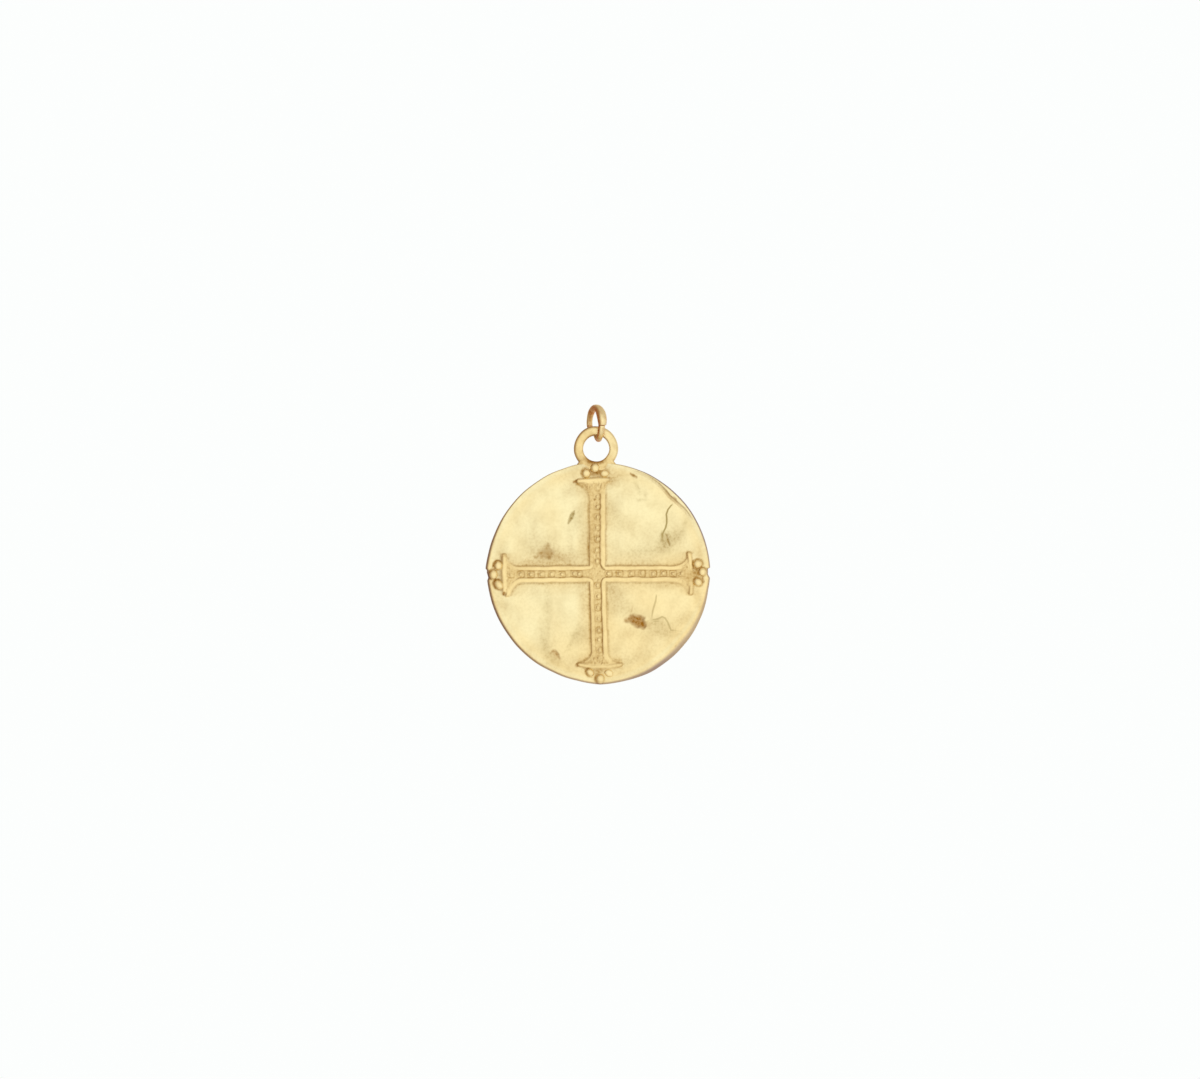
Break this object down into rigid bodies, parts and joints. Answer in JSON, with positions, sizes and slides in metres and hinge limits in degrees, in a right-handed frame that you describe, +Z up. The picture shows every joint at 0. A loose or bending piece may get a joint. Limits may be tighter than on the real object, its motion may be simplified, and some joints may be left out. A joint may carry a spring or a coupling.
{
  "type": "cross medallion pendant",
  "caption": "Round gold-coloured medallion pendant with a raised cross of beaded arms, a loop at its top and a jump ring that it hangs and swings from.",
  "frame": {"origin": "highest point of the jump ring's hole, where a chain carries it", "axes": "+Z up, the way it hangs; -Y out of the face with the cross; +X to the right of someone who looks at that face"},
  "size_m": [0.028, 0.0046, 0.035],
  "materials": {
    "pale_gold": "satin, pale gold wash with darker hollows, a brown dent and fine cracks",
    "ring_gold": "satin, drawn wire with brown tarnish at its top and inside"
  },
  "bodies": {
    "ring": {"jump_ring": "ring_gold"},
    "pendant": {"medallion": "pale_gold"}
  },
  "joints": [
    {"name": "pendant_swing", "type": "hinge", "parent": "ring", "child": "pendant", "pos_m": [0, 0, -0.00239], "axis": [1, 0, 0], "range_deg": [-140, 140]}
  ]
}
